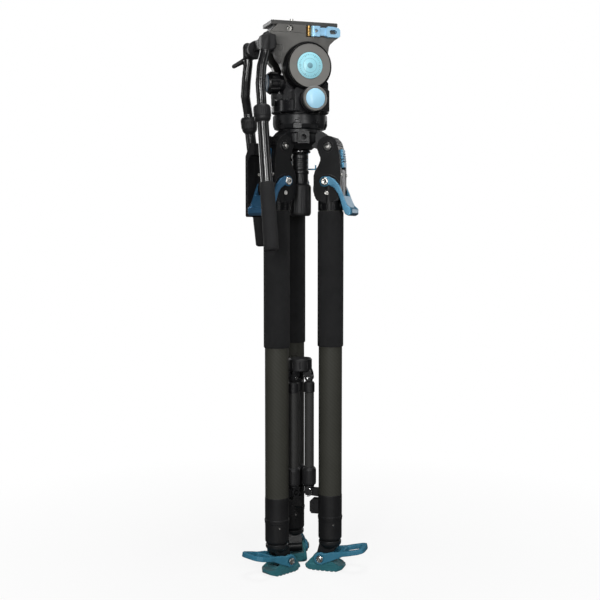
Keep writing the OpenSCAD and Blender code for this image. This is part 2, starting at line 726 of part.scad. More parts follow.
module leg_middle() color(black) {
  difference() {
    union() {
      cyl_z(leg_r, 0, middle_r, 80, 600);
      turned(lower_collar, leg_r);
    }
    cyl_z(leg_r, 0, 13.6, collar_split + 4, 610);
    cyl_z(leg_r, 0, lower_r + clear, 40, collar_split + 6);
  }
  // lock screws just under the flange
  translate([leg_r, 0, 0])
    for (azimuth = [-60, 60, 180]) rotate([0, 0, azimuth]) cyl_x(0, 81, 1.5, 20.25, 21);
}

// ---------- ankle and foot ----------
ankle_x = 42;
ankle_z = 22;
ankle_pin_r = 4;
ankle_lug_hw = 12;
module leg_lower() color(black) {
  difference() {
    union() {
      cyl_z(leg_r, 0, lower_r, 48, 560);
      // ankle flange, and lug that carries the foot
      turned([[0, 37], [13, 37], [18.6, 44], [19.4, 46], [19.4, 50], [18, 51.7], [0, 51.7]],
        leg_r);
      mid_slab([[34, 19], [36.5, 14.5], [46, 13.4], [50.5, 17], [58, 27], [66, 38], [66, 46],
        [38, 46], [34, 30]], ankle_lug_hw);
      mid_cyl(ankle_x, ankle_z, 9, ankle_lug_hw);
    }
    cyl_z(leg_r, 0, 9.8, 54, 600);
    mid_cyl(ankle_x, ankle_z, ankle_pin_r + fit, ankle_lug_hw + 1);
    mid_box(46, 70, 6, 30, 36);
  }
  // foot pin with round heads
  difference() {
    union() {
      mid_cyl(ankle_x, ankle_z, ankle_pin_r, 25);
      both_sides() cyl_y(ankle_x, ankle_z, 5.8, 23.2, 25);
    }
    both_sides() cyl_y(ankle_x, ankle_z, 2.4, 24, 26);
  }
}

// [x, z]
sole_side = [[10, 5], [14, 1.4], [24, 0], [70, 0], [78, 2.4], [81, 6], [80, 9.6], [70, 11],
  [28, 11], [16, 9.4]];
foot_cheek = [[15, 8], [22, 18], [34, 29], [42, 31.5], [49, 28.6], [56, 20], [74, 10.4],
  [74, 4], [15, 4]];
tread_top = 1.2;
module leg_foot() color(foot_teal) {
  difference() {
    union() {
      // sole with rounded ends
      intersection() {
        mid_slab(sole_side, 24);
        hull() {
          cyl_z(29, 0, 19, -1, 20);
          cyl_z(62, 0, 19.5, -1, 20);
        }
      }
      // cheeks that carry the pin
      both_sides() slab_xz(foot_cheek, 12.6, 17);
      // ribs across the inner and outer ends
      mid_slab([[16, 8], [22, 14.5], [28, 14.5], [29, 8]], 13);
      mid_slab([[61, 8], [61, 14.6], [66, 13.4], [73, 9]], 13);
    }
    mid_cyl(ankle_x, ankle_z, ankle_pin_r + clear, 20);
    // tread
    for (x = [24:8:72]) mid_box(x, x + 3, 30, -2, tread_top);
    for (y = [-12, 0, 12]) box(5, 85, y - 1, y + 1, -2, tread_top);
    // hollow between the cheeks for the ankle lug
    mid_cyl(ankle_x, ankle_z, 12.4, 12.5);
  }
}

foot_lever_in = 17.4;
foot_lever_out = 22.8;
// loop frame and its opening: [x from the pin, y]
loop_outer = [[33, -22], [50, -25], [68, -24.5], [76, -19], [78.5, -9], [78.5, 9], [76, 19],
  [68, 24.5], [50, 25], [33, 22]];
loop_inner = [[42.2, -11], [43.6, -14.2], [46.8, -15.5], [64.6, -15.8], [68.8, -14.6],
  [70.5, -11], [70.5, 11], [68.8, 14.6], [64.6, 15.8], [46.8, 15.5], [43.6, 14.2], [42.2, 11]];
module leg_foot_lever() color(foot_lever_blue) {
  difference() {
    union() {
      both_sides() {
        cyl_y(ankle_x, ankle_z, 10.6, foot_lever_in, foot_lever_out);
        slab_xz([[44, 12.2], [52, 15.2], [66, 21.4], [80, 27.6], [80, 36.6], [62, 34.4],
          [54, 32.2], [46, 31.2]], foot_lever_in, foot_lever_out);
      }
      // loop frame, rising outwards
      translate([ankle_x, 0, ankle_z]) rotate([0, -12.5, 0]) translate([0, 0, -2])
        difference() {
          linear_extrude(height = 8) polygon(loop_outer);
          translate([0, 0, -1]) linear_extrude(height = 10) polygon(loop_inner);
        }
    }
    mid_cyl(ankle_x, ankle_z, ankle_pin_r + clear, 30);
    both_sides() cyl_y(ankle_x, ankle_z, 7.4, 21.6, 30);
  }
}

// ---------- carry handle ----------
// loop on the -Y cheek of leg C, in the leg's own frame; outlines are [y, z]
handle_loop = [[-20.55, 727], [-30, 727], [-42, 706], [-42, 607], [-40, 605], [-24, 605],
  [-24, 622], [-20.55, 622]];
handle_hollow = [[-20, 640], [-20, 708], [-29, 708], [-36, 698], [-36, 626], [-27, 626],
  [-27, 640]];
module carry_handle() color(black) at_leg(leg_c_az) {
  difference() {
    union() {
      slab_yz(handle_loop, 58, 86);
      box(48, 60, -25, -20.55, 690, 715);
    }
    // hollow between the grip and the leg
    slab_yz(handle_hollow, 50, 90);
    // clearance round the hinge bolt and its pad
    cyl_y(leg_r, hinge_z, 10, -21.4, -18);
    cyl_y(leg_r, hinge_z, 7.4, -23.4, -18);
    // clearance round the release lever
    box(40, 90, -27.9, -10, 600, 680);
    // grooves down the grip
    for (x = [62:5:82]) box(x, x + 1.2, -43, -41.2, 620, 700);
  }
}

// ---------- spreader ----------
clevis_r = 6.3;
clevis_in = 4.4;
clevis_out = 8;
tongue_hw = 4.1;
arm_tube_r = 5;
module spreader_hub() color(black) {
  difference() {
    union() {
      turned([[0, 342], [19.5, 342], [20.5, 343.5], [20.5, 361.5], [18.5, 364], [5, 365],
        [0, 365]]);
      each_leg() {
        both_sides() {
          cyl_y(arm_r, hub_z, clevis_r, clevis_in, clevis_out);
          slab_xz([[arm_r - clevis_r, hub_z], [arm_r + clevis_r, hub_z], [arm_r + 5, 340],
            [19.5, 345], [8, 345], [8, 338]], clevis_in, clevis_out);
        }
        mid_cyl(arm_r, hub_z, arm_pin_r, 8.6);
      }
    }
    ring(10) cyl_z(20.9, 0, 1.2, 347, 359);
    cyl_z(0, 0, 3, 363.4, 367.4);
  }
}

// twist lock, tube and ferrule: [radius, z]
arm_profile = [[0, 144], [9.5, 144], [11.6, 146], [12, 149], [12, 170], [11.4, 173],
  [9.2, 175.5], [8.2, 176], [8.2, 305], [9.3, 306], [9.3, 321], [7.5, 323.6], [0, 323.6]];
module arm_outer() color(arm_outer_black) {
  difference() {
    union() {
      // tongue
      mid_cyl(arm_r, hub_z, clevis_r, tongue_hw);
      mid_box(arm_r - 5, arm_r + 5, tongue_hw, 322, hub_z);
      turned(arm_profile, arm_r);
    }
    cyl_z(arm_r, 0, arm_tube_r + clear, 140, 302);
    mid_cyl(arm_r, hub_z, arm_pin_r + clear, 6);
    translate([arm_r, 0, 0]) ring(12) cyl_z(12.5, 0, 1, 148, 170);
  }
}

// an open fork hangs on the leg's own pin; a closed one carries its pin
module arm_inner(open) color(arm_inner_black) {
  fork_r = open ? 7.8 : 6.5;
  fork_in = open ? 5.5 : 4.4;
  fork_out = 8.5;
  difference() {
    union() {
      cyl_z(arm_r, 0, arm_tube_r, 141, 296);
      both_sides() {
        cyl_y(arm_r, bracket_z, fork_r, fork_in, fork_out);
        box(arm_r - 6, arm_r + 6, fork_in, fork_out, bracket_z, 141.5);
      }
      // ring above the fork
      turned([[0, 140.8], [8.4, 140.8], [8.8, 141.8], [8.8, 143], [8, 143.8], [0, 143.8]],
        arm_r);
      if (!open) mid_cyl(arm_r, bracket_z, arm_pin_r, 9);
    }
    if (open) mid_cyl(arm_r, bracket_z, 5.3, 9);
  }
}

crown();
hook();
half_ball();
clamp_washer();
tie_down_handle();
pan_housing();
pan_drag_knob();
counterbalance_knob();
pan_lock();
tilt_body();
tilt_drag_dial();
plate_spring();
plate_lever();
camera_plate();
camera_screw();
bar_near_upper();
bar_near_lower();
bar_near_grip();
bar_far_upper();
bar_far_lower();
bar_far_grip();
at_leg(leg_a_az) leg_housing();  // leg_a_housing
at_leg(leg_a_az) leg_hardware();  // leg_a_hardware
at_leg(leg_a_az) leg_lever();  // leg_a_lever
at_leg(leg_a_az) leg_lock_tab();  // leg_a_lock_tab
at_leg(leg_a_az) leg_upper(false);  // leg_a_upper
at_leg(leg_a_az) leg_sleeve();  // leg_a_sleeve
at_leg(leg_a_az) leg_middle();  // leg_a_middle
at_leg(leg_a_az) leg_lower();  // leg_a_lower
at_leg(leg_a_az) leg_foot();  // leg_a_foot
at_leg(leg_a_az) leg_foot_lever();  // leg_a_foot_lever
at_leg(leg_b_az) leg_housing();  // leg_b_housing
at_leg(leg_b_az) leg_hardware();  // leg_b_hardware
at_leg(leg_b_az) leg_lever();  // leg_b_lever
at_leg(leg_b_az) leg_lock_tab();  // leg_b_lock_tab
at_leg(leg_b_az) leg_upper(true);  // leg_b_upper
at_leg(leg_b_az) leg_sleeve();  // leg_b_sleeve
at_leg(leg_b_az) leg_middle();  // leg_b_middle
at_leg(leg_b_az) leg_lower();  // leg_b_lower
at_leg(leg_b_az) leg_foot();  // leg_b_foot
at_leg(leg_b_az) leg_foot_lever();  // leg_b_foot_lever
at_leg(leg_c_az) leg_housing();  // leg_c_housing
at_leg(leg_c_az) leg_hardware();  // leg_c_hardware
at_leg(leg_c_az) leg_lever();  // leg_c_lever
at_leg(leg_c_az) leg_lock_tab();  // leg_c_lock_tab
at_leg(leg_c_az) leg_upper(true);  // leg_c_upper
at_leg(leg_c_az) leg_sleeve();  // leg_c_sleeve
at_leg(leg_c_az) leg_middle();  // leg_c_middle
at_leg(leg_c_az) leg_lower();  // leg_c_lower
at_leg(leg_c_az) leg_foot();  // leg_c_foot
at_leg(leg_c_az) leg_foot_lever();  // leg_c_foot_lever
carry_handle();
spreader_hub();
at_leg(leg_a_az) arm_outer();  // arm_a_outer
at_leg(leg_a_az) arm_inner(false);  // arm_a_inner
at_leg(leg_b_az) arm_outer();  // arm_b_outer
at_leg(leg_b_az) arm_inner(true);  // arm_b_inner
at_leg(leg_c_az) arm_outer();  // arm_c_outer
at_leg(leg_c_az) arm_inner(true);  // arm_c_inner
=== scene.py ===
# A camera tripod standing upright along Z, feet near z = 0, with its three legs closed.
# Legs a, b and c stand round the Z axis, with a spreader between them. The head sits on top:
# its drag dial faces -Y, its counterbalance knob -X. Two pan bars hang down, the near
# one on the -Y side and the far one on the +Y side.
# Meshes are in metres. Profiles and places given to lathe() and Leg.at() are in millimetres.
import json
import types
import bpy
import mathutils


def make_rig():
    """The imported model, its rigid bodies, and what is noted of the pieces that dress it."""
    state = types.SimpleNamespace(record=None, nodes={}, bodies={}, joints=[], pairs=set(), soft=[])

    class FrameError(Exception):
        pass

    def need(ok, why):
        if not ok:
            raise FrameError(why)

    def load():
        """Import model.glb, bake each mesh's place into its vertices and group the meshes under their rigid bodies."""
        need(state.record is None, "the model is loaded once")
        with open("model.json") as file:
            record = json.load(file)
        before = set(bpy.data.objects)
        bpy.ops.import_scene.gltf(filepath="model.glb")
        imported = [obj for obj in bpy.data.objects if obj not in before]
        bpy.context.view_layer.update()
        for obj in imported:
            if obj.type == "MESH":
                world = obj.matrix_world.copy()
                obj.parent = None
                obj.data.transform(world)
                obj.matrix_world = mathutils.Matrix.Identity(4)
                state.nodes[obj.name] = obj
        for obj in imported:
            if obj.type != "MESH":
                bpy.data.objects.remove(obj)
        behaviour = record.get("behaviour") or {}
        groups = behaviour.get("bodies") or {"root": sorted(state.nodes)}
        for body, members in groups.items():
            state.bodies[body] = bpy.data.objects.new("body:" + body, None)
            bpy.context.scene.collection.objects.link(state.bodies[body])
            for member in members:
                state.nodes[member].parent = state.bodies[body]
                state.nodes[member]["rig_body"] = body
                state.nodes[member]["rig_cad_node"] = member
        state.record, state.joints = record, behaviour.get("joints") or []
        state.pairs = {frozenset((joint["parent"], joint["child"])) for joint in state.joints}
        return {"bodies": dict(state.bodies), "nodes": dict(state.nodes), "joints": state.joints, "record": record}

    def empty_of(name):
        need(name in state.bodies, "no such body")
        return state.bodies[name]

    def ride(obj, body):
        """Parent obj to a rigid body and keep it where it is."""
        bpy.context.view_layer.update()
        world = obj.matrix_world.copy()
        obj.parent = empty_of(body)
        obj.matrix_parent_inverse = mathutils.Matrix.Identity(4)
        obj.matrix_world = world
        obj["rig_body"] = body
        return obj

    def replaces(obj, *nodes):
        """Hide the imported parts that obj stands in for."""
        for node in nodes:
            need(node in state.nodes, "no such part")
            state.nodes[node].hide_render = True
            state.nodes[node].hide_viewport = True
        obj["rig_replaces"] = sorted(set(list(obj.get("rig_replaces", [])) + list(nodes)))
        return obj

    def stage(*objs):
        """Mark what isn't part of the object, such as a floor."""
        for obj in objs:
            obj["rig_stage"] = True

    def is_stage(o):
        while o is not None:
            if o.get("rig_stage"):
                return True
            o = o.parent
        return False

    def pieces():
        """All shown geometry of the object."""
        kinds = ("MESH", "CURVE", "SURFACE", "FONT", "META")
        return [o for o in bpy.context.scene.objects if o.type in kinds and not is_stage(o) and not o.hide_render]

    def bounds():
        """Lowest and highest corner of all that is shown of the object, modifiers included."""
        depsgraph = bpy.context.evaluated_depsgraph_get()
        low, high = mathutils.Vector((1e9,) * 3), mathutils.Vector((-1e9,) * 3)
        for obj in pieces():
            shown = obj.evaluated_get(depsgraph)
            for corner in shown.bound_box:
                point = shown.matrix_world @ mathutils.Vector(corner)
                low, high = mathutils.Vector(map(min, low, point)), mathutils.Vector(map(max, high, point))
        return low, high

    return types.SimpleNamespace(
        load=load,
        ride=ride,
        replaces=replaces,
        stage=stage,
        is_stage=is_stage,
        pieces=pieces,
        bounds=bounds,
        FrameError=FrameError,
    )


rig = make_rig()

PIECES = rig.load()["nodes"]
import bpy
import bmesh
import json
import math
import random
from mathutils import Vector, noise

random.seed(7)
CAD_BOX = [[float(c) for c in p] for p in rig.bounds()]

MM = 0.001
UP = Vector((0, 0, 1))
LEG_AZIMUTHS = {"a": -34.5, "b": 85.5, "c": -154.5}    # degrees
LEG_RADIUS = 54.0          # from the Z axis to each leg tube's axis
LEG_TUBE_RADIUS = 0.020    # metres, for the weave
HINGE_Z = 722.0
LEVER_PIVOT = (50, 664)    # outward from the Z axis, height
FOOT_PIN = (42, 22)        # outward from the Z axis, height
SLEEVE_BOTTOM, SLEEVE_TOP = 386.0, 615.0

ARM_RADIUS = 16.5          # from the Z axis to each spreader arm's axis
ARM_TUBE_RADIUS = 0.0082   # metres, for the weave
HUB_PIN_Z = 331
CLIP_Z = 133
CLIP_RADIUS = 7.4

DIAL_CENTRE = (0, 0, 853)
PAN_KNOB_CENTRE = (3, 0, 797.5)
COUNTERBALANCE_CENTRE = (0, 0, 829)
BUBBLE_CENTRE = (-30, 0, 905)
MINUS_Y = (0, -1, 0)
PLUS_Y = (0, 1, 0)
MINUS_X = (-1, 0, 0)

# top and bottom of each straight lower bar, and a shift that varies its grip's unevenness
BARS = {
    "near": (Vector((-85.5, -61.66, 792)), Vector((-81.7, -104, 551)), 28),
    "far": (Vector((-69.3, 82, 788)), Vector((-34, 113, 556)), 21),
}


# ------------------------------------------------------------------ shader graph
class Graph:
    """A material's node tree, with a method for each kind of node used here."""

    def __init__(self, material):
        self.material = material
        self.tree = material.node_tree

    def put(self, value, socket):
        """Links an output socket to an input, or sets the input to a plain value."""
        if isinstance(value, bpy.types.NodeSocket):
            self.tree.links.new(value, socket)
        else:
            socket.default_value = value

    def fill(self, node, inputs):
        for key, value in inputs.items():
            self.put(value, node.inputs[key])

    def node(self, kind, inputs=None, **settings):
        node = self.tree.nodes.new(kind)
        for key, value in settings.items():
            setattr(node, key, value)
        self.fill(node, inputs or {})
        return node

    @property
    def principled(self):
        return self.tree.nodes["Principled BSDF"]

    def coords(self):
        return self.node("ShaderNodeTexCoord").outputs["Object"]

    def axes(self, vector):
        """The X, Y and Z outputs of a vector."""
        return self.node("ShaderNodeSeparateXYZ", {0: vector}).outputs

    def math(self, operation, *values, clamp=False):
        inputs = dict(enumerate(values))
        node = self.node("ShaderNodeMath", operation=operation, use_clamp=clamp)
        self.fill(node, inputs)
        return node.outputs[0]

    def mix(self, factor, first, second):
        return self.node("ShaderNodeMix", {0: factor, 2: first, 3: second},
                         data_type="FLOAT").outputs[0]

    def mix_colour(self, factor, first, second):
        first, second = [(*c, 1.0) if isinstance(c, tuple) else c for c in (first, second)]
        node = self.node("ShaderNodeMix", data_type="RGBA", blend_type="MIX")
        self.fill(node, {0: factor, 6: first, 7: second})
        return node.outputs[2]

    def noise(self, vector, scale, detail=3.0, rough=0.55, distortion=0.0):
        return self.node("ShaderNodeTexNoise", {
            "Scale": scale, "Detail": detail, "Roughness": rough,
            "Distortion": distortion, "Vector": vector}).outputs["Fac"]

    def ramp(self, value, low, high, start=0.0, end=1.0):
        """Maps low..high to start..end, clamped."""
        return self.node("ShaderNodeMapRange", {
            "Value": value, "From Min": low, "From Max": high,
            "To Min": start, "To Max": end}).outputs[0]

    def rounded_normal(self, radius):
        return self.node("ShaderNodeBevel", {"Radius": radius}, samples=4).outputs[0]

    def edge_mask(self, rounded):
        """1 on convex and concave edges, where the rounded normal leaves the real one."""
        normal = self.node("ShaderNodeNewGeometry").outputs["Normal"]
        dot = self.node("ShaderNodeVectorMath", operation="DOT_PRODUCT")
        self.fill(dot, {0: rounded, 1: normal})
        apart = self.math("SUBTRACT", 1.0, dot.outputs["Value"])
        return self.ramp(apart, low=0.02, high=0.35)

    def bump(self, height, strength, depth, normal=None):
        inputs = {"Strength": strength, "Distance": depth, "Height": height}
        if normal is not None:
            inputs["Normal"] = normal
        return self.node("ShaderNodeBump", inputs).outputs[0]


def new_graph(name):
    """A new material holding only a principled shader and its output."""
    material = bpy.data.materials.new(name)
    material.use_nodes = True
    graph = Graph(material)
    graph.tree.nodes.clear()
    output = graph.node("ShaderNodeOutputMaterial")
    shader = graph.node("ShaderNodeBsdfPrincipled")
    graph.put(shader.outputs[0], output.inputs[0])
    return graph


# ------------------------------------------------------------------ materials
def surface(name, colours, rough, metal=0.0, grain=2600, grain_amount=0.3, depth=5e-5,
            strength=0.5, edge=None, wear_and_highlight=0.4, coat=0.0, spec=0.5, uneven=0.09,
            bevel=0.0006, sheen=0.0, soft_edges=True):
    """A mottled, finely grained surface, given the edge colour on its edges: wear on most
    materials, a painted highlight on the leg housings.

    grain is the fine noise's scale, depth (metres) and strength drive its bump,
    wear_and_highlight is the share of edge colour, uneven varies the roughness, bevel is
    the edge radius.
    """
    graph = new_graph(name)
    place = graph.coords()
    broad = graph.noise(place, scale=38.0, detail=4.0, rough=0.6, distortion=0.4)
    fine = graph.noise(place, scale=grain, detail=2.0, rough=0.6)
    mottle = graph.math("MULTIPLY_ADD", broad, 0.75, graph.math("MULTIPLY", fine, 0.25))
    colour = graph.mix_colour(graph.ramp(mottle, low=0.3, high=0.7), *colours)
    normal = graph.rounded_normal(bevel) if soft_edges else None
    # edges take the edge colour: real wear on most materials, a painted highlight on the leg housings
    if edge is not None:
        patches = graph.ramp(graph.noise(place, scale=420, rough=0.7), low=0.42, high=0.62)
        edge_wear_and_highlight = graph.math("MULTIPLY", graph.edge_mask(normal), patches, clamp=True)
        colour = graph.mix_colour(graph.math("MULTIPLY", edge_wear_and_highlight, wear_and_highlight), colour, edge)
    offset = graph.math("SUBTRACT", broad, 0.5)
    roughness = graph.math("MULTIPLY_ADD", offset, uneven * 2.2, rough)
    smudges = graph.noise(place, scale=14.0, detail=5.0, rough=0.7, distortion=1.2)
    smudges = graph.ramp(smudges, low=0.52, high=0.75)
    roughness = graph.math("MULTIPLY_ADD", smudges, 0.07, roughness)
    height = graph.math("ADD", graph.math("MULTIPLY", fine, grain_amount * 6),
                        graph.math("MULTIPLY", broad, 0.3))
    graph.fill(graph.principled, {
        "Base Color": colour, "Roughness": roughness, "Metallic": metal,
        "Coat Weight": coat, "Coat Roughness": 0.12, "Specular IOR Level": spec,
        "Normal": graph.bump(height, strength, depth, normal)})
    if sheen:
        graph.fill(graph.principled, {"Sheen Weight": sheen, "Sheen Roughness": 0.6})
    return graph.material


def carbon(name, origin, radius, cell, colours):
    """Woven carbon, a 2/2 twill wrapped round an upright tube through origin."""
    graph = new_graph(name)
    place = graph.coords()
    offset = graph.node("ShaderNodeVectorMath", operation="SUBTRACT")
    graph.fill(offset, {0: place, 1: tuple(origin)})
    # the rotation is zero, as the tubes stand upright
    turned = graph.node("ShaderNodeVectorRotate", rotation_type="EULER_XYZ")
    graph.fill(turned, {"Vector": offset.outputs[0]})
    x, y, z = graph.axes(turned.outputs[0])
    turns = graph.math("DIVIDE", graph.math("ARCTAN2", y, x), 2 * math.pi)
    # a whole number of four-tow repeats round the tube
    count = max(8, round(2 * math.pi * radius / cell / 4) * 4)
    across = graph.math("MULTIPLY", turns, float(count))
    along = graph.math("DIVIDE", z, cell)
    cells = graph.math("ADD", graph.math("FLOOR", across), graph.math("FLOOR", along))
    warp = graph.math("LESS_THAN", graph.math("FLOORED_MODULO", cells, 4.0), 1.5)

    def tow(position):
        """The rounded height across one tow."""
        fraction = graph.math("FRACT", position)
        middle = graph.math("ABSOLUTE", graph.math("SUBTRACT", fraction, 0.5))
        drop = graph.math("MULTIPLY", graph.math("MULTIPLY", middle, middle), 3.4)
        return graph.math("SQRT", graph.math("SUBTRACT", 1.0, drop))

    height = graph.mix(warp, tow(along), tow(across))
    stretched = graph.node("ShaderNodeMapping", {"Scale": (1, 1, 6), "Vector": place})
    filaments = graph.noise(stretched.outputs[0], scale=900, detail=2.0, rough=0.7)
    broad = graph.noise(place, scale=16.0, detail=4.0, rough=0.6)
    shade = graph.math("ADD", graph.math("MULTIPLY", warp, 0.13),
                       graph.math("MULTIPLY", filaments, 0.35))
    shade = graph.math("ADD", shade, graph.math("MULTIPLY", broad, 0.4))
    graph.fill(graph.principled, {
        "Base Color": graph.mix_colour(graph.ramp(shade, low=0.25, high=0.9), *colours),
        "Roughness": graph.math("MULTIPLY_ADD", broad, 0.16, 0.50),
        "Specular IOR Level": 0.16, "Coat Weight": 0.05, "Coat Roughness": 0.35,
        "Normal": graph.bump(height, strength=0.22, depth=6e-5)})
    return graph.material


def paint_shoulder_shade(material):
    """Paints shade into the tilt body's lower -X shoulder, with a wavy border: a near-black
    grey mixed into its colour stands in for the shadow in the recess there.
    """
    graph = Graph(material)
    colour_input = graph.principled.inputs["Base Color"]
    colour = colour_input.links[0].from_socket
    x, _, z = graph.axes(graph.coords())
    wave = graph.noise(graph.coords(), scale=60.0)
    wavy_x = graph.math("MULTIPLY_ADD", wave, 0.010, x)
    back = graph.ramp(wavy_x, low=-0.050, high=-0.018, start=1.0, end=0.0)
    low = graph.ramp(z, low=0.900, high=0.906, start=1.0, end=0.0)
    factor = graph.math("MULTIPLY", graph.math("MULTIPLY", back, low), 0.72)
    # painted shade: the near-black grey stands in for the recess's shadow
    graph.put(graph.mix_colour(factor, colour, (0.016, 0.016, 0.016)), colour_input)


SURFACES = {
    "black_metal": dict(
        colours=((0.007, 0.0074, 0.0082), (0.0115, 0.012, 0.013)), rough=0.36,
        grain_amount=0.25, edge=(0.11, 0.11, 0.11), spec=0.36),
    "black_gloss": dict(
        colours=((0.005, 0.005, 0.006), (0.009, 0.009, 0.0105)), rough=0.24, grain=900,
        grain_amount=0.04, depth=2e-5, edge=(0.07, 0.07, 0.07), coat=0.35, spec=0.55),
    "bar_black": dict(
        colours=((0.008, 0.008, 0.0085), (0.013, 0.013, 0.014)), rough=0.23, grain=1400,
        grain_amount=0.02, depth=1e-5, strength=0.15, coat=0.5, spec=0.9, uneven=0.04,
        soft_edges=False),
    # the light edge colour, laid on in patches along the edges, is a painted highlight
    "housing_black": dict(
        colours=((0.0035, 0.0037, 0.0042), (0.0062, 0.0065, 0.0072)), rough=0.33,
        grain_amount=0.2, depth=4e-5, edge=(0.22, 0.22, 0.22), wear_and_highlight=0.75, spec=0.14,
        bevel=0.0009),
    "rim_black": dict(
        colours=((0.002, 0.002, 0.0022), (0.004, 0.004, 0.0044)), rough=0.6,
        grain_amount=0.2, depth=3e-5, spec=0.08),
    "plate_grey": dict(
        colours=((0.050, 0.050, 0.048), (0.072, 0.071, 0.068)), rough=0.38, metal=0.3,
        edge=(0.36, 0.36, 0.35), wear_and_highlight=0.6),
    "black_matte": dict(
        colours=((0.008, 0.008, 0.0088), (0.0145, 0.0145, 0.0155)), rough=0.5, grain=2400,
        grain_amount=0.35, depth=6e-5, edge=(0.08, 0.08, 0.08), wear_and_highlight=0.3, spec=0.34),
    "collar_black": dict(
        colours=((0.0075, 0.0075, 0.0082), (0.0125, 0.0125, 0.0132)), rough=0.5, grain=3000,
        grain_amount=0.4, depth=6e-5, edge=(0.08, 0.08, 0.08), wear_and_highlight=0.3, spec=0.26),
    "head_grey": dict(
        colours=((0.112, 0.110, 0.103), (0.142, 0.139, 0.131)), rough=0.36, metal=0.35,
        edge=(0.36, 0.36, 0.35), wear_and_highlight=0.5),
    "dial_grey": dict(
        colours=((0.170, 0.166, 0.155), (0.205, 0.20, 0.188)), rough=0.45, metal=0.25,
        grain=3000, grain_amount=0.35, edge=(0.35, 0.35, 0.33)),
    "blue_anodised": dict(
        colours=((0.045, 0.165, 0.27), (0.065, 0.215, 0.335)), rough=0.34, metal=0.45,
        grain_amount=0.25, depth=4e-5, edge=(0.45, 0.62, 0.72), wear_and_highlight=0.45),
    # a darker copy of blue_anodised: painted shade for leg c's lever and lock tab
    "blue_anodised_painted_shade": dict(
        colours=((0.024, 0.10, 0.20), (0.038, 0.135, 0.255)), rough=0.36, metal=0.45,
        grain_amount=0.25, depth=4e-5, edge=(0.35, 0.52, 0.66), wear_and_highlight=0.45),
    "light_blue_anodised": dict(
        colours=((0.31, 0.60, 0.86), (0.40, 0.70, 0.93)), rough=0.3, metal=0.25,
        grain_amount=0.2, depth=4e-5, edge=(0.85, 0.93, 0.98), wear_and_highlight=0.5),
    "foot_blue": dict(
        colours=((0.026, 0.155, 0.25), (0.042, 0.205, 0.31)), rough=0.46, grain=2200,
        grain_amount=0.4, depth=7e-5, edge=(0.2, 0.42, 0.52), wear_and_highlight=0.35, spec=0.45),
    "teal_rubber": dict(
        colours=((0.011, 0.125, 0.155), (0.022, 0.165, 0.195)), rough=0.62,
        grain_amount=0.9, depth=11e-5, edge=(0.10, 0.33, 0.36), spec=0.35, sheen=0.15),
    "steel": dict(
        colours=((0.50, 0.49, 0.46), (0.66, 0.65, 0.62)), rough=0.27, metal=1.0, grain=3000,
        grain_amount=0.2, depth=2e-5, edge=(0.85, 0.85, 0.84), wear_and_highlight=0.6),
    "steel_dark": dict(
        colours=((0.10, 0.10, 0.10), (0.16, 0.16, 0.155)), rough=0.3, metal=1.0, grain=3000,
        grain_amount=0.2, depth=2e-5, edge=(0.6, 0.6, 0.58), wear_and_highlight=0.6),
    "chrome": dict(
        colours=((0.72, 0.72, 0.72), (0.8, 0.8, 0.8)), rough=0.1, metal=1.0, grain=900,
        grain_amount=0.05, depth=1e-5),
    "brass": dict(
        colours=((0.58, 0.34, 0.10), (0.72, 0.46, 0.18)), rough=0.3, metal=1.0,
        grain_amount=0.2, depth=3e-5, edge=(0.95, 0.75, 0.4), wear_and_highlight=0.5),
    "link_grey": dict(
        colours=((0.20, 0.20, 0.205), (0.26, 0.26, 0.265)), rough=0.42, metal=0.15,
        depth=4e-5, edge=(0.4, 0.4, 0.4)),
    "eva_foam": dict(
        colours=((0.0145, 0.0147, 0.0155), (0.0225, 0.0227, 0.0235)), rough=0.78,
        grain=1500, grain_amount=1.2, depth=22e-5, strength=0.8,
        edge=(0.045, 0.045, 0.045), spec=0.12, sheen=0.02),
    "grip_foam": dict(
        colours=((0.0135, 0.0135, 0.0145), (0.0225, 0.0225, 0.0235)), rough=0.66,
        grain=1700, grain_amount=1.0, depth=18e-5, strength=0.8, edge=(0.06, 0.06, 0.06),
        spec=0.2, sheen=0.02),
    "label_cyan": dict(
        colours=((0.34, 0.76, 0.88), (0.42, 0.82, 0.92)), rough=0.42, grain=3200,
        depth=3e-5, edge=(0.8, 0.95, 1.0), coat=0.3),
    "label_ink": dict(
        colours=((0.16, 0.34, 0.42), (0.22, 0.40, 0.47)), rough=0.5, grain=3200,
        depth=3e-5),
    "cap_light_blue": dict(
        colours=((0.38, 0.72, 0.95), (0.46, 0.79, 0.97)), rough=0.4, grain=3200,
        depth=3e-5, edge=(0.85, 0.95, 1.0), coat=0.3),
    "cap_slate_blue": dict(
        colours=((0.10, 0.16, 0.23), (0.14, 0.21, 0.29)), rough=0.4, grain=3200,
        depth=3e-5, coat=0.2),
    "vial_green": dict(
        colours=((0.35, 0.75, 0.15), (0.5, 0.85, 0.25)), rough=0.08, grain=300,
        grain_amount=0.02, depth=1e-5, coat=1.0),
}
MATERIALS = {name: surface(name, **look) for name, look in SURFACES.items()}
# painted shade on the tilt body's lower -X shoulder
paint_shoulder_shade(MATERIALS["head_grey"])


# ------------------------------------------------------------------ face shading and slots
def smooth_faces(mesh):
    for face in mesh.polygons:
        face.use_smooth = True


def smooth_piece(piece, angle=32):
    """Shades a CAD piece smooth over its curved faces, leaving its vertices alone."""
    smooth_faces(piece.data)
    with bpy.context.temp_override(active_object=piece, selected_objects=[piece],
                                   selected_editable_objects=[piece], object=piece):
        # guards against the operator refusing a piece, which then stays smooth all over
        try:
            bpy.ops.object.shade_smooth_by_angle(angle=math.radians(angle))
        except Exception:
            pass


def set_slots(mesh, slot_of):
    """Gives each face the material slot that slot_of returns for its centre, in metres."""
    slots = [int(slot_of(face.center)) for face in mesh.polygons]
    mesh.polygons.foreach_set("material_index", slots)


